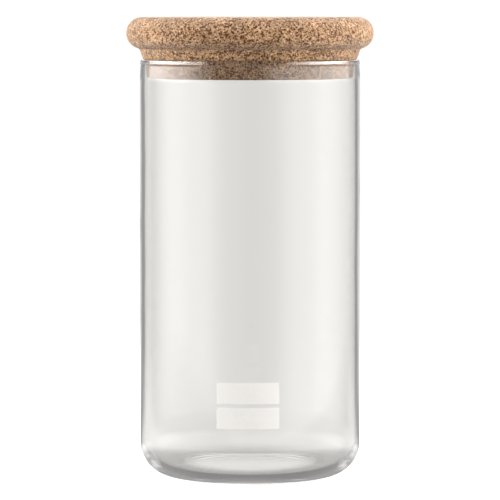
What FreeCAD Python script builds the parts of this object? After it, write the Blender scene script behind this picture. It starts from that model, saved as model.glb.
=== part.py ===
import FreeCAD, Part
import math
import os

import Sketcher
from FreeCAD import Placement, Rotation, Vector

# A glass storage canister: a straight jar, a cork lid with a stopper, and two printed panels.
# The origin is the centre of the foot on the surface that the jar stands on. +Z is up, and the
# printed panels face -Y. Lengths are in millimetres.

# Driving dimensions: alias, value, meaning
DIMENSIONS = (
    ("glass_diameter", 94.0, "outside of the jar"),
    ("jar_height", 177.9, "foot to the top of the lip"),
    ("wall", 2.0, "glass thickness at the side"),
    ("floor_thickness", 3.2, "glass thickness above the foot"),
    ("corner_radius", 14.0, "outside of the rounded bottom corner"),
    ("foot_width", 4.0, "flat ring that the jar stands on"),
    ("push_up", 1.0, "rise of the base inside the foot ring"),
    ("lip_radius", 1.1, "fire-polished bead round the mouth"),
    ("head_diameter", 105.6, "widest part of the lid"),
    ("nose_radius", 6.8, "full round edge of the lid's head"),
    ("neck_height", 4.35, "lip to the underside of the head"),
    ("neck_top_diameter", 93.9, "neck where it runs into the cove"),
    ("neck_bottom_diameter", 91.3, "neck where it sits on the lip"),
    ("cove_radius", 1.5, "hollow between the head and the neck"),
    ("seat_gap", 0.15, "lip to the neck's seat"),
    ("stopper_depth", 8.1, "stopper below the top of the lip"),
    ("stopper_clearance", 0.3, "gap to the glass all round, at the top of the stopper"),
    ("stopper_draft", 0.6, "loss of radius down the stopper"),
    ("stopper_edge", 0.8, "rounding of the stopper's lower edge"),
    ("print_thickness", 0.12, "fired print on the glass"),
    ("panel_width", 26.5, "along the glass"),
    ("panel_height", 8.9, "each panel"),
    ("panel_gap", 1.6, "between the panels"),
    ("panel_bottom", 24.5, "foot to the lower panel"),
)
SIZE = {alias: value for alias, value, meaning in DIMENSIONS}

# Ends of a segment, and the sketch's own origin and axes, as constraints number them
START, END, CENTRE = 1, 2, 3
ORIGIN, ACROSS, UP = -1, -1, -2

FRONT_ANGLE = -90.0


def make_sheet(doc):
    """The driving dimensions, one row each."""
    sheet = doc.addObject("Spreadsheet::Sheet", "Dimensions")
    for row, (alias, value, meaning) in enumerate(DIMENSIONS, start=1):
        sheet.set(f"A{row}", meaning)
        sheet.set(f"B{row}", str(value))
        sheet.setAlias(f"B{row}", alias)
    doc.recompute()
    return sheet


def on_sheet(formula):
    """The formula with every alias named as a cell of the sheet."""
    words = formula.split()
    return " ".join(f"Dimensions.{word}" if word in SIZE else word for word in words)


def make_body(doc, label):
    """An empty body and a sketch on its XZ plane, where x is the radius and y the height."""
    body = doc.addObject("PartDesign::Body", label)
    body.Label = label
    sketch = body.newObject("Sketcher::SketchObject", f"{label}_section")
    planes = [plane for plane in body.Origin.OriginFeatures if plane.Role == "XZ_Plane"]
    sketch.AttachmentSupport = [(planes[0], "")]
    sketch.MapMode = "FlatFace"
    return body, sketch


def line(sketch, first, last):
    return sketch.addGeometry(Part.LineSegment(Vector(*first), Vector(*last)))


def arc(sketch, centre, radius, first_angle, last_angle):
    """An arc that runs anticlockwise between two angles in degrees."""
    circle = Part.Circle(Vector(*centre), Vector(0, 0, 1), radius)
    angles = math.radians(first_angle), math.radians(last_angle)
    return sketch.addGeometry(Part.ArcOfCircle(circle, *angles))


def join(sketch, kind, *ends):
    sketch.addConstraint(Sketcher.Constraint(kind, *ends))


def bind(sketch, kind, places, formula, guess):
    """A measured constraint that follows the sheet."""
    number = sketch.addConstraint(Sketcher.Constraint(kind, *places, guess))
    sketch.setExpression(f"Constraints[{number}]", on_sheet(formula))


def bind_place(sketch, kind, geometry, end, formula, guess):
    """The distance of a point from the axis (DistanceX) or above the foot (DistanceY)."""
    bind(sketch, kind, (ORIGIN, START, geometry, end), formula, guess)


def revolve(body, sketch):
    """A full turn of the section about the axis."""
    turned = body.newObject("PartDesign::Revolution", f"{body.Label}_turned")
    turned.Profile = sketch
    turned.ReferenceAxis = (sketch, ["V_Axis"])
    sketch.Visibility = False
    return turned


def make_glass_jar(doc):
    body, sketch = make_body(doc, "glass_jar")
    outside = SIZE["glass_diameter"] / 2
    inside = outside - SIZE["wall"]
    corner = SIZE["corner_radius"]
    inner_corner = corner - SIZE["wall"]
    flat = outside - corner
    ring = flat - SIZE["foot_width"]
    rise = SIZE["push_up"]
    floor = SIZE["floor_thickness"]
    lip = SIZE["lip_radius"]
    lip_height = SIZE["jar_height"] - lip
    dish_radius = (ring**2 + rise**2) / (2 * rise)
    dish_angle = math.degrees(math.acos(ring / dish_radius))

    dish = arc(sketch, (0, rise - dish_radius), dish_radius, dish_angle, 90)
    foot = line(sketch, (ring, 0), (flat, 0))
    heel = arc(sketch, (flat, corner), corner, -90, 0)
    wall = line(sketch, (outside, corner), (outside, lip_height - lip / 2))
    bead = arc(sketch, (inside + lip, lip_height), lip, -35, 180)
    bore = line(sketch, (inside, lip_height), (inside, floor + inner_corner))
    inner_heel = arc(sketch, (flat, floor + inner_corner), inner_corner, -90, 0)
    bottom = line(sketch, (flat, floor), (0, floor))
    axis = line(sketch, (0, floor), (0, rise))

    join(sketch, "Coincident", dish, START, foot, START)
    join(sketch, "Tangent", foot, END, heel, START)
    join(sketch, "Tangent", heel, END, wall, START)
    join(sketch, "Coincident", wall, END, bead, START)
    join(sketch, "Tangent", bead, END, bore, START)
    join(sketch, "Tangent", bore, END, inner_heel, END)
    join(sketch, "Tangent", inner_heel, START, bottom, START)
    join(sketch, "Coincident", bottom, END, axis, START)
    join(sketch, "Coincident", axis, END, dish, END)
    join(sketch, "Vertical", wall)
    join(sketch, "Vertical", bore)
    join(sketch, "Horizontal", bottom)
    join(sketch, "PointOnObject", foot, START, ACROSS)
    join(sketch, "PointOnObject", foot, END, ACROSS)
    join(sketch, "PointOnObject", axis, START, UP)
    join(sketch, "PointOnObject", axis, END, UP)
    join(sketch, "PointOnObject", dish, CENTRE, UP)

    bind(sketch, "Radius", (heel,), "corner_radius", corner)
    bind(sketch, "Radius", (inner_heel,), "corner_radius - wall", inner_corner)
    bind(sketch, "Radius", (bead,), "lip_radius", lip)
    bind_place(sketch, "DistanceX", foot, START, "glass_diameter / 2 - corner_radius - foot_width", ring)
    bind_place(sketch, "DistanceX", wall, START, "glass_diameter / 2", outside)
    bind_place(sketch, "DistanceX", bore, START, "glass_diameter / 2 - wall", inside)
    bind_place(sketch, "DistanceY", axis, START, "floor_thickness", floor)
    bind_place(sketch, "DistanceY", axis, END, "push_up", rise)
    bind_place(sketch, "DistanceY", bead, CENTRE, "jar_height - lip_radius", lip_height)
    revolve(body, sketch)
    return body


def make_cork_lid(doc):
    body, sketch = make_body(doc, "cork_lid")
    nose = SIZE["nose_radius"]
    cove = SIZE["cove_radius"]
    edge = SIZE["stopper_edge"]
    nose_place = SIZE["head_diameter"] / 2 - nose
    seat = SIZE["jar_height"] + SIZE["seat_gap"]
    top = seat + SIZE["neck_height"] + 2 * nose
    neck_top = SIZE["neck_top_diameter"] / 2
    neck_bottom = SIZE["neck_bottom_diameter"] / 2
    cove_height = seat + SIZE["neck_height"] - cove / 2
    stopper = SIZE["glass_diameter"] / 2 - SIZE["wall"] - SIZE["stopper_clearance"]
    tip = stopper - SIZE["stopper_draft"]
    under = SIZE["jar_height"] - SIZE["stopper_depth"]

    crown = line(sketch, (0, top), (nose_place, top))
    rim = arc(sketch, (nose_place, top - nose), nose, -69, 90)
    hollow = arc(sketch, (neck_top + cove, cove_height), cove, 111, 164)
    neck = line(sketch, (neck_top, cove_height), (neck_bottom, seat))
    ledge = line(sketch, (neck_bottom, seat), (stopper, seat))
    side = line(sketch, (stopper, seat), (tip, under + edge))
    turn = arc(sketch, (tip - edge, under + edge), edge, -90, -4)
    bottom = line(sketch, (tip - edge, under), (0, under))
    axis = line(sketch, (0, under), (0, top))

    join(sketch, "Tangent", crown, END, rim, END)
    join(sketch, "Tangent", rim, START, hollow, START)
    join(sketch, "Tangent", hollow, END, neck, START)
    join(sketch, "Coincident", neck, END, ledge, START)
    join(sketch, "Coincident", ledge, END, side, START)
    join(sketch, "Tangent", side, END, turn, END)
    join(sketch, "Tangent", turn, START, bottom, START)
    join(sketch, "Coincident", bottom, END, axis, START)
    join(sketch, "Coincident", axis, END, crown, START)
    join(sketch, "Horizontal", crown)
    join(sketch, "Horizontal", ledge)
    join(sketch, "Horizontal", bottom)
    join(sketch, "PointOnObject", axis, START, UP)
    join(sketch, "PointOnObject", axis, END, UP)

    bind(sketch, "Radius", (rim,), "nose_radius", nose)
    bind(sketch, "Radius", (hollow,), "cove_radius", cove)
    bind(sketch, "Radius", (turn,), "stopper_edge", edge)
    bind(sketch, "DistanceX", (side, END, side, START), "stopper_draft", SIZE["stopper_draft"])
    bind_place(sketch, "DistanceX", rim, CENTRE, "head_diameter / 2 - nose_radius", nose_place)
    bind_place(sketch, "DistanceX", neck, START, "neck_top_diameter / 2", neck_top)
    bind_place(sketch, "DistanceX", neck, END, "neck_bottom_diameter / 2", neck_bottom)
    bind_place(sketch, "DistanceX", side, START, "glass_diameter / 2 - wall - stopper_clearance", stopper)
    bind_place(sketch, "DistanceY", crown, START, "jar_height + seat_gap + neck_height + 2 * nose_radius", top)
    bind_place(sketch, "DistanceY", ledge, START, "jar_height + seat_gap", seat)
    bind_place(sketch, "DistanceY", axis, START, "jar_height - stopper_depth", under)
    revolve(body, sketch)
    return body


def make_panel(doc, label, bottom_formula, bottom):
    """A thin curved rectangle on the outside of the glass, turned to the front."""
    body, sketch = make_body(doc, label)
    glass = SIZE["glass_diameter"] / 2
    face = glass + SIZE["print_thickness"]
    top = bottom + SIZE["panel_height"]

    lower = line(sketch, (glass, bottom), (face, bottom))
    outer = line(sketch, (face, bottom), (face, top))
    upper = line(sketch, (face, top), (glass, top))
    inner = line(sketch, (glass, top), (glass, bottom))

    join(sketch, "Coincident", lower, END, outer, START)
    join(sketch, "Coincident", outer, END, upper, START)
    join(sketch, "Coincident", upper, END, inner, START)
    join(sketch, "Coincident", inner, END, lower, START)
    join(sketch, "Horizontal", lower)
    join(sketch, "Horizontal", upper)
    join(sketch, "Vertical", outer)
    join(sketch, "Vertical", inner)

    bind_place(sketch, "DistanceX", lower, START, "glass_diameter / 2", glass)
    bind_place(sketch, "DistanceX", lower, END, "glass_diameter / 2 + print_thickness", face)
    bind_place(sketch, "DistanceY", lower, START, bottom_formula, bottom)
    bind_place(sketch, "DistanceY", outer, END, f"{bottom_formula} + panel_height", top)
    turned = revolve(body, sketch)
    turned.Midplane = True
    turned.setExpression("Angle", on_sheet("panel_width / ( glass_diameter / 2 ) * 180 / pi"))
    body.Placement = Placement(Vector(), Rotation(Vector(0, 0, 1), FRONT_ANGLE))
    return body


def check(doc, bodies):
    """Stops if anything in the document failed, or a body is not one sound solid."""
    for item in doc.Objects:
        if "Invalid" in item.State or "Error" in item.State:
            raise RuntimeError(f"{item.Label} failed: {item.State}")
    for body in bodies:
        shape = body.Shape
        if shape.isNull() or not shape.isValid() or len(shape.Solids) != 1:
            raise RuntimeError(f"{body.Label} is not one sound solid")


def main():
    doc = FreeCAD.newDocument("canister")
    make_sheet(doc)
    upper_bottom = SIZE["panel_bottom"] + SIZE["panel_height"] + SIZE["panel_gap"]
    bodies = [
        make_glass_jar(doc),
        make_cork_lid(doc),
        make_panel(doc, "writing_panel", "panel_bottom", SIZE["panel_bottom"]),
        make_panel(doc, "upper_panel", "panel_bottom + panel_height + panel_gap", upper_bottom),
    ]
    doc.recompute()
    check(doc, bodies)
    os.makedirs("parts", exist_ok=True)
    for body in bodies:
        box = body.Shape.BoundBox
        print(body.Label, round(body.Shape.Volume), "mm3", [round(n, 3) for n in (
            box.XMin, box.XMax, box.YMin, box.YMax, box.ZMin, box.ZMax)])
        body.Shape.exportStep(f"parts/{body.Label}.step")


main()
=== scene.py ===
import math

import bmesh
import bpy
from mathutils import Matrix, Vector, noise


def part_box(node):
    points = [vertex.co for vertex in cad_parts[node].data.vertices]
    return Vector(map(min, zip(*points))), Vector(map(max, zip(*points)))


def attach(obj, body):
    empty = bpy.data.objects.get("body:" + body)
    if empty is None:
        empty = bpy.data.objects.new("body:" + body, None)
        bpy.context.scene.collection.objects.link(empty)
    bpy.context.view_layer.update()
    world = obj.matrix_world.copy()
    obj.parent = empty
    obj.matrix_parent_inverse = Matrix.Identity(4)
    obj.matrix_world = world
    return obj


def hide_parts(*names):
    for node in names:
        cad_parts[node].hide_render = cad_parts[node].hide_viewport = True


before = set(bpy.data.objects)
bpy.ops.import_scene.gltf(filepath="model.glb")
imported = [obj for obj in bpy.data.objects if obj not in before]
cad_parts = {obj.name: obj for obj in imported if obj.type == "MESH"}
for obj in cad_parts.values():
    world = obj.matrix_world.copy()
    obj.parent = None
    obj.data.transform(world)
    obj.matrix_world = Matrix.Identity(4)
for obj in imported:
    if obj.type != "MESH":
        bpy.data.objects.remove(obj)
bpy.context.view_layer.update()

# A glass storage canister with a cork lid and two printed panels. Lengths are in metres.
MM = 0.001
FULL_TURN = 2 * math.pi
SECTORS = 20
CREASE = math.radians(50)
MERGE_DISTANCE = 0.001 * MM

# Sizes that the frame gives
JAR_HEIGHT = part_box("glass_jar")[1].z
LID_LOW, LID_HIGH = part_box("cork_lid")
HEAD_RADIUS = LID_HIGH.x
LID_TOP = LID_HIGH.z
STOPPER_BOTTOM = LID_LOW.z

# The jar. The lip's face leans inwards by a few degrees.
GLASS_RADIUS = 47 * MM
WALL = 2 * MM
FLOOR_THICKNESS = 3.2 * MM
CORNER_RADIUS = 14 * MM
FOOT_WIDTH = 4 * MM
PUSH_UP = 1 * MM
MOUTH_TAPER = 0.3 * MM
LIP_STEP = 0.25 * MM
LIP_DEPTH = 1.7 * MM
LIP_LEAN = 9
LIP_FILLET = 0.2 * MM
LIP_EDGE = 0.4 * MM
RIPPLE = 0.06 * MM
RIPPLE_LENGTH = 28 * MM
JAR_STEPS = 260

# The lid. The neck is a straight line from where it runs into the cove down to its seat over the lip.
NOSE_RADIUS = 6.8 * MM
COVE_RADIUS = 1.5 * MM
NECK_TOP = Vector((46.95, 181.742)) * MM
NECK_BOTTOM = Vector((45.65, 178.05)) * MM
STOPPER_RADIUS = 44.7 * MM
STOPPER_DRAFT = 0.6 * MM
STOPPER_EDGE = 0.8 * MM
LID_STEPS = 620
PIT_SPACING = 1.5 * MM
PIT_SHARE = 0.08
PIT_SHUFFLE = 91.7
PIT_SLOPE = 1.25
PIT_DEPTH = 0.4 * MM
ROUGH_LENGTH = 0.9 * MM
ROUGH_DEPTH = 0.07 * MM

# The printed panels
PANEL_WIDTH = 26.5 * MM
PRINT_GAP = 0.015 * MM
PRINT_THICKNESS = 0.1 * MM
PANEL_CORNER = 0.45 * MM
PANEL_COLUMNS = 48

# The finish of the glass. In all the finishes, a texture's scale is its cells to the metre.
GLASS_TINT = (0.985, 0.98, 0.972, 1)
GLASS_INDEX = 1.47
GLASS_ROUGHNESS = (0.004, 0.05)
GLASS_SMEAR_SCALE = 38.0
GLASS_WAVE_SCALE = 45.0
SMEAR_RANGE = (0.42, 0.72)
STREAK_RANGE = (0.35, 0.75)
STREAK_FINENESS = 7.0

# The finish of the cork, with painted shade on the stopper and the neck under the head, which makes them
# darker and more saturated
CORK_TONES = (
    (0.0, (0.06, 0.020, 0.006, 1)),
    (0.12, (0.20, 0.085, 0.027, 1)),
    (0.3, (0.49, 0.277, 0.136, 1)),
    (0.75, (0.62, 0.388, 0.217, 1)),
    (1.0, (0.78, 0.55, 0.36, 1)),
)
# The brown of the bark specks, which is also the painted shade in the pits
BARK_AND_PIT_SHADE_BROWN = (0.07, 0.023, 0.007, 1)
GRANULE_SCALE = 1600.0
STIR_SCALE = 1100.0
STIR_REACH = 0.4 * MM
SPECK_SCALE = 1450.0
SPECK_RANGE = (0.81, 0.83)
SPECK_SHADE = 0.92
SEAM_RANGE = (0.2, 0.0)
SEAM_SHADE = 0.6
# Where the painted shade in a pit begins and where it is full, by the pit's depth
PIT_SHADE_RANGE = (0.1, 0.8)
CORK_GRAIN_SCALE = 3500.0
PATCH_SCALE = 110.0
MOTTLE_RANGE = (0.6, 1.4)
MOTTLE_VALUE = (0.75, 1.25)
# Painted shade under the head: the heights where it is full and where it ends, then the brightness and
# saturation at each
PAINTED_SHADE_HEIGHT = (STOPPER_BOTTOM, NECK_TOP.y + COVE_RADIUS)
PAINTED_SHADE_VALUE = (0.78, 1.0)
PAINTED_SHADE_SATURATION = (1.12, 1.0)
CORK_ROUGHNESS = (0.55, 0.75)
CORK_SHEEN = (1.0, 0.97, 0.93, 1)

# The finish of the print
PRINT_TONES = ((0.3, (0.73, 0.716, 0.688, 1)), (0.7, (0.80, 0.789, 0.763, 1)))
PRINT_WORN = (0.66, 0.643, 0.611, 1)
PRINT_WEAR = 0.4
PRINT_ROUGHNESS = (0.42, 0.6)
PRINT_GRAIN_SCALE = 3200.0
PRINT_SMEAR_SCALE = 120.0
GRAIN_RANGE = (0.3, 0.7)

# The camera stands a little over one and a half metres off, just above the top of the lid, and looks at
# the middle of the canister
CAMERA_DISTANCE = 1.62
CAMERA_HEIGHT = 0.2007
CAMERA_TURN = math.radians(1.1)
AIM_HEIGHT = 0.0964
FOCAL_LENGTH = 273
SENSOR_WIDTH = 36

# The room, by the turn from straight behind the jar, as a share of a half turn: the light level with the
# jar, then that of the bands below and above it, and the heights where each band begins and is full
ROOM_STRENGTH = 20.0
ROOM_TINT = (1.0, 0.988, 0.975)
ROOM_TURN = math.radians(1.5)
BACKDROP_LIGHT = 1.02
LEVEL_LIGHT = (
    (0.0, 0.82),
    (0.075, 0.8),
    (0.12, 0.6),
    (0.145, 0.3),
    (0.19, 0.3),
    (0.24, 0.6),
    (0.33, 1.4),
    (0.4, 1.9),
    (0.52, 2.5),
    (0.7, 1.9),
    (0.85, 0.8),
    (1.0, 0.2),
)
LOW_LIGHT = (
    (0.0, 0.8),
    (0.6, 0.8),
    (0.8, 0.4),
    (1.0, 0.2),
)
LEFT_LIGHT = (
    (0.0, 1.0),
    (0.27, 1.0),
    (0.295, 4.5),
    (0.36, 7.5),
    (0.44, 9.5),
    (0.6, 8.2),
    (0.67, 5.5),
    (0.74, 2.0),
    (0.82, 0.5),
    (1.0, 0.2),
)
RIGHT_LIGHT = (
    (0.0, 1.0),
    (0.27, 1.0),
    (0.295, 4.0),
    (0.36, 5.4),
    (0.44, 6.6),
    (0.57, 7.0),
    (0.65, 5.5),
    (0.74, 4.2),
    (0.84, 3.4),
    (0.93, 0.5),
    (1.0, 0.2),
)
HIGH_LIGHT = (
    (0.0, 3.0),
    (0.25, 4.0),
    (0.33, 11.0),
    (0.4, 20.0),
    (0.54, 20.0),
    (0.6, 17.0),
    (0.66, 10.0),
    (0.7, 10.0),
    (0.74, 4.0),
    (0.78, 0.5),
    (1.0, 0.1),
)
TOP_LIGHT = (
    (0.0, 1.2),
    (0.35, 2.2),
    (0.55, 2.2),
    (0.7, 0.55),
    (1.0, 0.15),
)
LOW_BAND = (-0.13, -0.22)
SIDE_BAND = (-0.01, 0.035)
HIGH_BAND = (0.12, 0.19)
TOP_BAND = (0.26, 0.4)

# The room as it shows through the glass. Soft dark strips stand between the eight main directions, and show
# only in the edges of the glass, where light stays within the wall.
THROUGH_LIGHT = (
    (0.0, 0.77),
    (0.035, 0.77),
    (0.05, 0.68),
    (0.1, 0.64),
    (0.15, 0.74),
    (1.0, 0.77),
)
THROUGH_TOP = 1.2
THROUGH_TOP_BAND = (0.12, 0.3)
STRIP_TURN = math.radians(45)
STRIP_SHADE = (
    (0.0, 1.0),
    (0.19, 1.0),
    (0.29, 0.76),
    (0.42, 0.56),
    (0.55, 0.42),
    (0.68, 0.42),
    (0.8, 0.7),
    (0.92, 1.0),
    (1.0, 1.0),
)

# The floor: its light on things, its light in the glass by the distance from the jar's axis as a share of
# the reach, how much darker it is in the edges of the glass, and how slantwise it is seen where it begins
# to mirror the room and where it is all mirror
FLOOR_RADIUS = 0.9
FLOOR_FADE = (0.95 * FLOOR_RADIUS, 0.25 * FLOOR_RADIUS)
FLOOR_TINT = (0.85, 0.85, 0.85, 1)
FLOOR_GLOW = 0.45
FLOOR_LIGHT = 0.6
CONTACT_REACH = 0.1
CONTACT_LIGHT = (
    (0.0, 0.68),
    (0.22, 0.66),
    (0.29, 0.36),
    (0.36, 0.34),
    (0.46, 0.46),
    (0.62, 0.66),
    (0.85, 0.8),
    (1.0, 0.84),
)
WITHIN_SHADE = 0.35
MIRROR_TURN = (0.76, 0.92)

# The bounces that light inside the glass may need, and the numbers between none and one bounce, and between
# the two faces of one wall and more
GLASS_BOUNCES = 32
ANY_BOUNCE = 0.5
ONE_WALL = 2.5

# Kinds of group sockets
VECTOR = "NodeSocketVector"
NUMBER = "NodeSocketFloat"
COLOUR = "NodeSocketColor"


class Section:
    """A half section drawn point by point in the XZ plane, to be spun about the jar's axis."""

    def __init__(self, radius, height):
        self.mesh = bmesh.new()
        self.tip = self.mesh.verts.new((radius, 0, height))

    def line(self, radius, height, steps):
        """A straight run to a new point."""
        start = self.tip.co.copy()
        move = (Vector((radius, 0, height)) - start) / steps
        for step in range(steps):
            grown = bmesh.ops.extrude_vert_indiv(self.mesh, verts=[self.tip])
            self.tip = grown["verts"][0]
            self.tip.co = start + move * (step + 1)

    def arc(self, centre, degrees, steps):
        """A round stretch about a centre, anticlockwise with the radius to the right and the height up."""
        spun = bmesh.ops.spin(
            self.mesh,
            geom=[self.tip],
            cent=(centre[0], 0, centre[1]),
            axis=(0, -1, 0),
            angle=math.radians(degrees),
            steps=steps,
            use_merge=False,
        )
        self.tip = spun["geom_last"][0]

    def spin(self, steps):
        """The closed skin of a full turn: one sector is swept, and then copied round."""
        mesh = self.mesh
        sector = FULL_TURN / SECTORS
        axis = {"cent": (0, 0, 0), "axis": (0, 0, 1)}
        swept = mesh.verts[:] + mesh.edges[:]
        bmesh.ops.spin(mesh, geom=swept, angle=sector, steps=steps // SECTORS, use_merge=False, **axis)
        whole = mesh.verts[:] + mesh.edges[:] + mesh.faces[:]
        bmesh.ops.spin(
            mesh, geom=whole, angle=FULL_TURN - sector, steps=SECTORS - 1, use_duplicate=True, **axis
        )
        bmesh.ops.remove_doubles(mesh, verts=mesh.verts, dist=MERGE_DISTANCE)
        bmesh.ops.recalc_face_normals(mesh, faces=mesh.faces)
        return mesh


def make_piece(name, mesh, material, body, slot, *nodes):
    """An object of the finished mesh that moves with a body and stands for CAD nodes."""
    data = bpy.data.meshes.new(name)
    mesh.to_mesh(data)
    mesh.free()
    data.shade_smooth()
    data.set_sharp_from_angle(angle=CREASE)
    data.materials.append(material)
    piece = bpy.data.objects.new(name, data)
    bpy.context.scene.collection.objects.link(piece)
    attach(piece, body)
    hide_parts(*nodes)


def add_node(tree, kind, inputs=(), **settings):
    """A node with its settings, and with a value or a link on each named input."""
    node = tree.nodes.new(kind)
    for name, value in settings.items():
        setattr(node, name, value)
    for name, value in dict(inputs).items():
        if isinstance(value, bpy.types.NodeSocket):
            tree.links.new(value, node.inputs[name])
        else:
            node.inputs[name].default_value = value
    return node


def add_ramp(tree, factor, stops):
    """A colour ramp with stops of place and colour."""
    node = add_node(tree, "ShaderNodeValToRGB", {"Fac": factor})
    elements = node.color_ramp.elements
    elements[0].position, elements[0].color = stops[0]
    elements[1].position, elements[1].color = stops[-1]
    for place, colour in stops[1:-1]:
        elements.new(place).color = colour
    return node.outputs["Color"]


def math_node(tree, operation, first, second=0.0):
    """A sum, product or other operation on one or two numbers."""
    return add_node(tree, "ShaderNodeMath", {0: first, 1: second}, operation=operation).outputs[0]


def mix_colour(tree, factor, first, second, blend="MIX"):
    """A blend from a first colour to a second one."""
    inputs = {"Factor": factor, "A": first, "B": second}
    node = add_node(tree, "ShaderNodeMix", inputs, data_type="RGBA", blend_type=blend)
    return node.outputs["Result"]


def smooth_range(tree, value, low, high, to_low=0.0, to_high=1.0):
    """A smooth step of a value between two bounds."""
    inputs = {"Value": value, "From Min": low, "From Max": high, "To Min": to_low, "To Max": to_high}
    return add_node(tree, "ShaderNodeMapRange", inputs, interpolation_type="SMOOTHSTEP").outputs["Result"]


def add_noise(tree, place, scale, detail=2.0):
    """Soft noise over a place, from 0 to 1."""
    inputs = {"Vector": place, "Scale": scale, "Detail": detail}
    return add_node(tree, "ShaderNodeTexNoise", inputs).outputs["Fac"]


def add_cells(tree, place, scale, channel):
    """A random number for each cell of a pattern, from 0 to 1."""
    cells = add_node(tree, "ShaderNodeTexVoronoi", {"Vector": place, "Scale": scale})
    return add_node(tree, "ShaderNodeSeparateColor", {"Color": cells.outputs["Color"]}).outputs[channel]


def add_bump(tree, shader, height, strength, distance):
    """Bump on a shader's surface."""
    inputs = {"Height": height, "Strength": strength, "Distance": distance}
    bump = add_node(tree, "ShaderNodeBump", inputs)
    tree.links.new(bump.outputs["Normal"], shader.inputs["Normal"])


def new_material(name):
    """An empty material with its tree, its shader and Object coordinates."""
    material = bpy.data.materials.new(name)
    material.use_nodes = True
    tree = material.node_tree
    shader = tree.nodes["Principled BSDF"]
    place = add_node(tree, "ShaderNodeTexCoord").outputs["Object"]
    return material, tree, shader, place


def new_group(name, inputs, output):
    """An empty shader group with its sockets, each given as a name and a kind."""
    tree = bpy.data.node_groups.new(name, "ShaderNodeTree")
    for label, kind in inputs:
        tree.interface.new_socket(label, in_out="INPUT", socket_type=kind)
    label, kind = output
    tree.interface.new_socket(label, in_out="OUTPUT", socket_type=kind)
    entry = tree.nodes.new("NodeGroupInput").outputs
    leave = tree.nodes.new("NodeGroupOutput").inputs
    return tree, entry, leave


def add_group(tree, group, inputs):
    """A group placed in a tree, and what it puts out."""
    return add_node(tree, "ShaderNodeGroup", inputs, node_tree=group).outputs[0]


def make_marks_group():
    """Faint handling marks: soft smears with finer streaks in them."""
    sockets = (("Vector", VECTOR), ("Scale", NUMBER))
    tree, entry, leave = new_group("handling_marks", sockets, ("Mask", NUMBER))
    smear = add_noise(tree, entry["Vector"], entry["Scale"], 3.0)
    fine_scale = math_node(tree, "MULTIPLY", entry["Scale"], STREAK_FINENESS)
    streak = add_noise(tree, entry["Vector"], fine_scale, 5.0)
    soft = smooth_range(tree, smear, *SMEAR_RANGE)
    sharp = smooth_range(tree, streak, *STREAK_RANGE)
    tree.links.new(math_node(tree, "MULTIPLY", soft, sharp), leave["Mask"])
    return tree


def make_glass(marks):
    """Clear blown glass: very slightly uneven, with faint smears in its gloss."""
    material, tree, shader, place = new_material("clear_glass")
    shader.inputs["Base Color"].default_value = GLASS_TINT
    shader.inputs["Transmission Weight"].default_value = 1.0
    shader.inputs["IOR"].default_value = GLASS_INDEX
    mask = add_group(tree, marks, {"Vector": place, "Scale": GLASS_SMEAR_SCALE})
    roughness = smooth_range(tree, mask, 0.0, 1.0, *GLASS_ROUGHNESS)
    tree.links.new(roughness, shader.inputs["Roughness"])
    wave = add_noise(tree, place, GLASS_WAVE_SCALE, 1.0)
    add_bump(tree, shader, wave, strength=0.05, distance=1 * MM)
    return material


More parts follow.
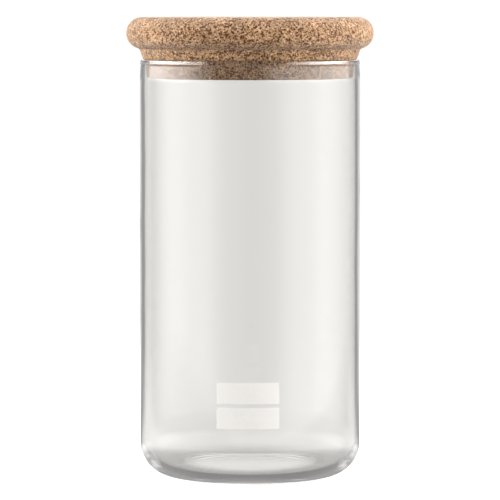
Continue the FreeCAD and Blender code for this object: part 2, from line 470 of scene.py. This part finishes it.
def make_cork():
    """Agglomerated cork: pressed granules of many browns, dark bark specks, and pits with painted shade in
    them.
    """
    material, tree, shader, place = new_material("turned_cork")
    stir = add_node(tree, "ShaderNodeTexNoise", {"Vector": place, "Scale": STIR_SCALE, "Detail": 2.0})
    shift = add_node(
        tree, "ShaderNodeVectorMath", {0: stir.outputs["Color"], "Scale": STIR_REACH}, operation="SCALE"
    )
    torn = add_node(tree, "ShaderNodeVectorMath", {0: place, 1: shift.outputs[0]}).outputs[0]

    tone = add_cells(tree, torn, GRANULE_SCALE, "Red")
    chance = add_cells(tree, torn, SPECK_SCALE, "Green")
    seam = add_node(
        tree, "ShaderNodeTexVoronoi", {"Vector": torn, "Scale": GRANULE_SCALE}, feature="DISTANCE_TO_EDGE"
    )
    grain = add_noise(tree, place, CORK_GRAIN_SCALE)
    patch = add_noise(tree, place, PATCH_SCALE)
    pit = add_node(tree, "ShaderNodeAttribute", attribute_name="pit").outputs["Fac"]

    dark = smooth_range(tree, chance, *SPECK_RANGE)
    groove = smooth_range(tree, seam.outputs["Distance"], *SEAM_RANGE)
    # The pits are dug into the mesh and also painted darker: painted shade in the hollows, mixed with the
    # bark specks and the seams
    pit_shade = smooth_range(tree, pit, *PIT_SHADE_RANGE)
    shade = math_node(tree, "MAXIMUM", math_node(tree, "MULTIPLY", dark, SPECK_SHADE), pit_shade)
    shade = math_node(tree, "MAXIMUM", shade, math_node(tree, "MULTIPLY", groove, SEAM_SHADE))
    colour = mix_colour(tree, shade, add_ramp(tree, tone, CORK_TONES), BARK_AND_PIT_SHADE_BROWN)

    height = add_node(tree, "ShaderNodeSeparateXYZ", {"Vector": place}).outputs["Z"]
    mottle = smooth_range(tree, math_node(tree, "ADD", grain, patch), *MOTTLE_RANGE, *MOTTLE_VALUE)
    # Painted shade: the stopper and the neck, under the head's overhang, are made darker and more saturated
    # towards the bottom
    painted_shade = smooth_range(tree, height, *PAINTED_SHADE_HEIGHT, *PAINTED_SHADE_VALUE)
    value = math_node(tree, "MULTIPLY", mottle, painted_shade)
    painted_shade_saturation = smooth_range(tree, height, *PAINTED_SHADE_HEIGHT, *PAINTED_SHADE_SATURATION)
    tinted = add_node(
        tree, "ShaderNodeHueSaturation", {"Color": colour, "Value": value, "Saturation": painted_shade_saturation}
    )
    tree.links.new(tinted.outputs["Color"], shader.inputs["Base Color"])

    roughness = smooth_range(tree, grain, *GRAIN_RANGE, *CORK_ROUGHNESS)
    tree.links.new(roughness, shader.inputs["Roughness"])
    shader.inputs["Sheen Weight"].default_value = 0.25
    shader.inputs["Sheen Roughness"].default_value = 0.5
    shader.inputs["Sheen Tint"].default_value = CORK_SHEEN
    shader.inputs["Specular IOR Level"].default_value = 0.06

    relief = math_node(tree, "SUBTRACT", grain, groove)
    relief = math_node(tree, "SUBTRACT", relief, dark)
    add_bump(tree, shader, relief, strength=0.7, distance=0.15 * MM)
    return material


def make_print(marks):
    """White print fired onto the glass: chalky satin with a fine screen grain and faint marks."""
    material, tree, shader, place = new_material("white_print")
    grain = add_noise(tree, place, PRINT_GRAIN_SCALE)
    mask = add_group(tree, marks, {"Vector": place, "Scale": PRINT_SMEAR_SCALE})
    mottle = add_ramp(tree, grain, PRINT_TONES)
    worn = mix_colour(tree, math_node(tree, "MULTIPLY", mask, PRINT_WEAR), mottle, PRINT_WORN)
    tree.links.new(worn, shader.inputs["Base Color"])
    roughness = smooth_range(tree, mask, 0.0, 1.0, *PRINT_ROUGHNESS)
    tree.links.new(roughness, shader.inputs["Roughness"])
    add_bump(tree, shader, grain, strength=0.3, distance=0.03 * MM)
    return material


def make_jar(material):
    """The jar, from the push-up under its base round the lip to the floor inside."""
    flat = GLASS_RADIUS - CORNER_RADIUS
    ring = flat - FOOT_WIDTH
    inside = GLASS_RADIUS - WALL
    inner_corner = CORNER_RADIUS - WALL
    mouth = GLASS_RADIUS - MOUTH_TAPER
    fillet_turn = math.degrees(math.acos(1 - LIP_STEP / (2 * LIP_FILLET)))
    fillet_rise = LIP_FILLET * math.sin(math.radians(fillet_turn))
    lip_low = JAR_HEIGHT - LIP_DEPTH
    lip_high = JAR_HEIGHT - LIP_EDGE
    lip_lean = math.radians(LIP_LEAN)
    dish_radius = (ring**2 + PUSH_UP**2) / (2 * PUSH_UP)
    dish_turn = math.degrees(math.asin(ring / dish_radius))

    section = Section(0, PUSH_UP)
    section.arc((0, PUSH_UP - dish_radius), -dish_turn, steps=12)
    section.line(flat, 0, steps=4)
    section.arc((flat, CORNER_RADIUS), 90, steps=28)
    section.line(GLASS_RADIUS, STOPPER_BOTTOM, steps=60)
    section.line(mouth, lip_low - 2 * fillet_rise, steps=8)
    section.arc((mouth + LIP_FILLET, section.tip.co.z), -fillet_turn, steps=5)
    section.arc((mouth + LIP_STEP - LIP_FILLET, lip_low), fillet_turn + LIP_LEAN, steps=6)
    face = lip_high + LIP_EDGE * math.sin(lip_lean) - section.tip.co.z
    section.line(section.tip.co.x - face * math.tan(lip_lean), section.tip.co.z + face, steps=4)
    section.arc((section.tip.co.x - LIP_EDGE * math.cos(lip_lean), lip_high), 90 - LIP_LEAN, steps=6)
    section.line(inside + LIP_EDGE, JAR_HEIGHT, steps=3)
    section.arc((inside + LIP_EDGE, lip_high), 90, steps=6)
    section.line(inside, FLOOR_THICKNESS + inner_corner, steps=60)
    section.arc((flat, FLOOR_THICKNESS + inner_corner), -90, steps=24)
    section.line(0, FLOOR_THICKNESS, steps=12)
    mesh = section.spin(JAR_STEPS)
    for vert in mesh.verts:
        radius = vert.co.xy.length
        if FLOOR_THICKNESS + inner_corner < vert.co.z < STOPPER_BOTTOM and radius < inside + WALL / 2:
            push = 1 + RIPPLE / radius * noise.noise(vert.co / RIPPLE_LENGTH)
            vert.co.x *= push
            vert.co.y *= push
    make_piece("jar_glass", mesh, material, "jar", "clear_glass", "glass_jar")


def pit_at(place):
    """How far the surface is pitted at a place, from 0 to 1, where a granule has dropped out."""
    distances, centres = noise.voronoi(place / PIT_SPACING)
    if noise.cell(centres[0] * PIT_SHUFFLE) > 2 * PIT_SHARE - 1:
        return 0.0
    return min(1.0, max(0.0, PIT_SLOPE * (distances[1] - distances[0])))


def make_lid(material):
    """The lid, from the middle of its top round the head, neck and stopper to the middle below."""
    nose = Vector((HEAD_RADIUS - NOSE_RADIUS, LID_TOP - NOSE_RADIUS))
    neck = (NECK_TOP - NECK_BOTTOM).normalized()
    cove = NECK_TOP + COVE_RADIUS * Vector((neck.y, -neck.x))
    meet = math.degrees(math.atan2(cove.y - nose.y, cove.x - nose.x))
    cove_turn = math.degrees(math.atan2(neck.x, -neck.y)) - 180 - meet
    draft = math.degrees(math.atan2(STOPPER_DRAFT, NECK_BOTTOM.y - STOPPER_BOTTOM))
    tip = STOPPER_RADIUS - STOPPER_DRAFT
    edge = Vector((tip - STOPPER_EDGE, STOPPER_BOTTOM + STOPPER_EDGE))

    section = Section(0, LID_TOP)
    section.line(nose.x, LID_TOP, steps=50)
    section.arc(nose, meet - 90, steps=40)
    section.arc(cove, cove_turn, steps=5)
    section.line(*NECK_BOTTOM, steps=10)
    section.line(STOPPER_RADIUS, NECK_BOTTOM.y, steps=3)
    section.line(tip, edge.y, steps=14)
    section.arc(edge, draft - 90, steps=4)
    section.line(0, STOPPER_BOTTOM, steps=16)
    mesh = section.spin(LID_STEPS)

    layer = mesh.verts.layers.float.new("pit")
    mesh.normal_update()
    for vert in mesh.verts:
        pit = pit_at(vert.co)
        rough = 0.5 + 0.5 * noise.noise(vert.co / ROUGH_LENGTH)
        vert[layer] = pit
        vert.co -= vert.normal * (PIT_DEPTH * pit + ROUGH_DEPTH * rough)
    make_piece("lid_cork", mesh, material, "lid", "cork", "cork_lid")


def make_panel(name, node, material):
    """A printed panel: a flat rectangle with small round corners, wrapped round the glass."""
    low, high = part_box(node)
    mesh = bmesh.new()
    corners = [(-0.5, low.z), (0.5, low.z), (0.5, high.z), (-0.5, high.z)]
    verts = [mesh.verts.new((side * PANEL_WIDTH, 0, height)) for side, height in corners]
    mesh.faces.new(verts)
    bmesh.ops.bevel(
        mesh, geom=verts, offset=PANEL_CORNER, affect="VERTICES", segments=6, profile=0.5, material=-1
    )
    for column in range(1, PANEL_COLUMNS):
        across = (column / PANEL_COLUMNS - 0.5) * PANEL_WIDTH
        everything = mesh.verts[:] + mesh.edges[:] + mesh.faces[:]
        bmesh.ops.bisect_plane(mesh, geom=everything, plane_co=(across, 0, 0), plane_no=(1, 0, 0))
    grown = bmesh.ops.extrude_face_region(mesh, geom=mesh.faces[:])
    outer = [item for item in grown["geom"] if isinstance(item, bmesh.types.BMVert)]
    bmesh.ops.translate(mesh, verts=outer, vec=(0, -PRINT_THICKNESS, 0))
    bmesh.ops.recalc_face_normals(mesh, faces=mesh.faces)
    for vert in mesh.verts:
        turn = vert.co.x / GLASS_RADIUS
        radius = GLASS_RADIUS + PRINT_GAP - vert.co.y
        vert.co = Vector((radius * math.sin(turn), -radius * math.cos(turn), vert.co.z))
    make_piece(name, mesh, material, "jar", "white_print", node)


def room_colour(light):
    """A light of the room as a colour, as a share of the room's strength."""
    return (*[light / ROOM_STRENGTH * tint for tint in ROOM_TINT], 1)


def add_lights(tree, share, lights):
    """The light along a share of a half turn or of a distance."""
    return add_ramp(tree, share, [(place, room_colour(light)) for place, light in lights])


def make_room_group():
    """The brightness of the white room in a direction from the jar, as a share of its strength."""
    sockets = (("Vector", VECTOR), ("Through", NUMBER), ("Within", NUMBER), ("Mirrored", NUMBER))
    tree, entry, leave = new_group("room_light", sockets, ("Color", COLOUR))
    parts = add_node(tree, "ShaderNodeSeparateXYZ", {"Vector": entry["Vector"]}).outputs
    swing = math_node(tree, "ARCTAN2", parts["X"], parts["Y"])
    swing = math_node(tree, "SUBTRACT", swing, ROOM_TURN)
    turn = math_node(tree, "ABSOLUTE", swing)
    share = math_node(tree, "DIVIDE", turn, math.pi)
    level = add_lights(tree, share, LEVEL_LIGHT)
    left = add_lights(tree, share, LEFT_LIGHT)
    right = add_lights(tree, share, RIGHT_LIGHT)
    bands = (
        (add_lights(tree, share, LOW_LIGHT), LOW_BAND),
        (mix_colour(tree, math_node(tree, "GREATER_THAN", swing, 0.0), left, right), SIDE_BAND),
        (add_lights(tree, share, HIGH_LIGHT), HIGH_BAND),
        (add_lights(tree, share, TOP_LIGHT), TOP_BAND),
    )
    around = level
    for light, band in bands:
        around = mix_colour(tree, smooth_range(tree, parts["Z"], *band), around, light)

    fold = math_node(tree, "PINGPONG", turn, STRIP_TURN)
    strip = add_ramp(
        tree,
        math_node(tree, "DIVIDE", fold, STRIP_TURN),
        [(place, (shade, shade, shade, 1)) for place, shade in STRIP_SHADE],
    )
    behind = add_lights(tree, share, THROUGH_LIGHT)
    edge = mix_colour(tree, 1.0, behind, strip, "MULTIPLY")
    seen = mix_colour(tree, entry["Within"], behind, edge)
    seen = mix_colour(tree, entry["Mirrored"], seen, level)
    overhead = smooth_range(tree, parts["Z"], *THROUGH_TOP_BAND)
    seen = mix_colour(tree, overhead, seen, room_colour(THROUGH_TOP))
    shown = mix_colour(tree, entry["Through"], around, seen)
    tree.links.new(shown, leave["Color"])
    return tree


def sort_rays(tree, path):
    """Masks that sort the rays by their way through the glass.

    Through marks light that is seen through the glass, Within light that bounced inside one wall, and
    Mirrored light that bounced and passed more than one wall.
    """
    direct = math_node(tree, "LESS_THAN", path["Diffuse Depth"], ANY_BOUNCE)
    through = math_node(tree, "MULTIPLY", path["Is Transmission Ray"], direct)
    glossy = math_node(tree, "GREATER_THAN", path["Glossy Depth"], ANY_BOUNCE)
    once = math_node(tree, "LESS_THAN", path["Transmission Depth"], ONE_WALL)
    within = math_node(tree, "MULTIPLY", glossy, once)
    mirrored = math_node(tree, "GREATER_THAN", glossy, once)
    return {"Through": through, "Within": within, "Mirrored": mirrored}


def make_floor(room):
    """A pale round floor that fades out towards its edge and takes the room's light in the glass."""
    mesh = bmesh.new()
    bmesh.ops.create_circle(mesh, cap_ends=True, segments=128, radius=FLOOR_RADIUS)
    data = bpy.data.meshes.new("floor")
    mesh.to_mesh(data)
    mesh.free()
    material, tree, shader, place = new_material("pale_floor")
    shader.inputs["Base Color"].default_value = FLOOR_TINT
    shader.inputs["Roughness"].default_value = 0.8
    shader.inputs["Emission Color"].default_value = (1, 1, 1, 1)
    shader.inputs["Emission Strength"].default_value = FLOOR_GLOW
    path = add_node(tree, "ShaderNodeLightPath").outputs
    rays = sort_rays(tree, path)
    far = add_node(tree, "ShaderNodeVectorMath", {0: place}, operation="LENGTH").outputs["Value"]
    near = add_lights(tree, math_node(tree, "DIVIDE", far, CONTACT_REACH), CONTACT_LIGHT)
    within = math_node(tree, "MULTIPLY", rays["Through"], rays["Within"])
    near = mix_colour(tree, math_node(tree, "MULTIPLY", within, WITHIN_SHADE), near, (0, 0, 0, 1))
    facing = add_node(tree, "ShaderNodeLayerWeight", {"Blend": 0.5}).outputs["Facing"]
    mirror = smooth_range(tree, facing, *MIRROR_TURN)
    colour = mix_colour(tree, mirror, near, add_group(tree, room, {"Vector": place, **rays}))
    colour = mix_colour(tree, path["Is Diffuse Ray"], colour, room_colour(FLOOR_LIGHT))
    glow = add_node(tree, "ShaderNodeEmission", {"Color": colour, "Strength": ROOM_STRENGTH})
    lit = add_node(
        tree,
        "ShaderNodeMixShader",
        {0: path["Is Camera Ray"], 1: glow.outputs["Emission"], 2: shader.outputs["BSDF"]},
    )
    solid = smooth_range(tree, far, *FLOOR_FADE)
    clear = add_node(tree, "ShaderNodeBsdfTransparent")
    faded = add_node(
        tree, "ShaderNodeMixShader", {0: solid, 1: clear.outputs["BSDF"], 2: lit.outputs["Shader"]}
    )
    tree.links.new(faded.outputs["Shader"], tree.nodes["Material Output"].inputs["Surface"])
    data.materials.append(material)
    floor = bpy.data.objects.new("floor", data)
    bpy.context.scene.collection.objects.link(floor)


def make_light(room):
    """A white room: soft light from both sides and above, a paler back and a dim front."""
    world = bpy.data.worlds.new("studio")
    bpy.context.scene.world = world
    world.use_nodes = True
    tree = world.node_tree
    background = tree.nodes["Background"]
    way = add_node(tree, "ShaderNodeTexCoord").outputs["Generated"]
    path = add_node(tree, "ShaderNodeLightPath").outputs
    backdrop = (*[BACKDROP_LIGHT / ROOM_STRENGTH] * 3, 1)
    around = add_group(tree, room, {"Vector": way, **sort_rays(tree, path)})
    shown = mix_colour(tree, path["Is Camera Ray"], around, backdrop)
    tree.links.new(shown, background.inputs["Color"])
    background.inputs["Strength"].default_value = ROOM_STRENGTH


def make_camera():
    """The camera at the photograph's place, looking slightly down."""
    data = bpy.data.cameras.new("camera")
    data.lens = FOCAL_LENGTH
    data.sensor_width = SENSOR_WIDTH
    camera = bpy.data.objects.new("camera", data)
    stand = Matrix.Rotation(CAMERA_TURN, 3, "Z") @ Vector((0, -CAMERA_DISTANCE, CAMERA_HEIGHT))
    camera.location = stand
    camera.rotation_euler = (Vector((0, 0, AIM_HEIGHT)) - stand).to_track_quat("-Z", "Y").to_euler()
    bpy.context.scene.collection.objects.link(camera)
    bpy.context.scene.camera = camera


def set_up_render(scene):
    """Plain colours, and enough bounces for the light that runs round inside the base and the lip."""
    scene.view_settings.view_transform = "Standard"
    scene.cycles.max_bounces = GLASS_BOUNCES
    scene.cycles.glossy_bounces = GLASS_BOUNCES
    scene.cycles.transmission_bounces = GLASS_BOUNCES


def main():
    """The canister, its floor, its room and its camera."""
    marks = make_marks_group()
    white_print = make_print(marks)
    make_jar(make_glass(marks))
    make_lid(make_cork())
    make_panel("panel_upper", "upper_panel", white_print)
    make_panel("panel_writing", "writing_panel", white_print)
    room = make_room_group()
    make_floor(room)
    make_light(room)
    make_camera()
    set_up_render(bpy.context.scene)


main()
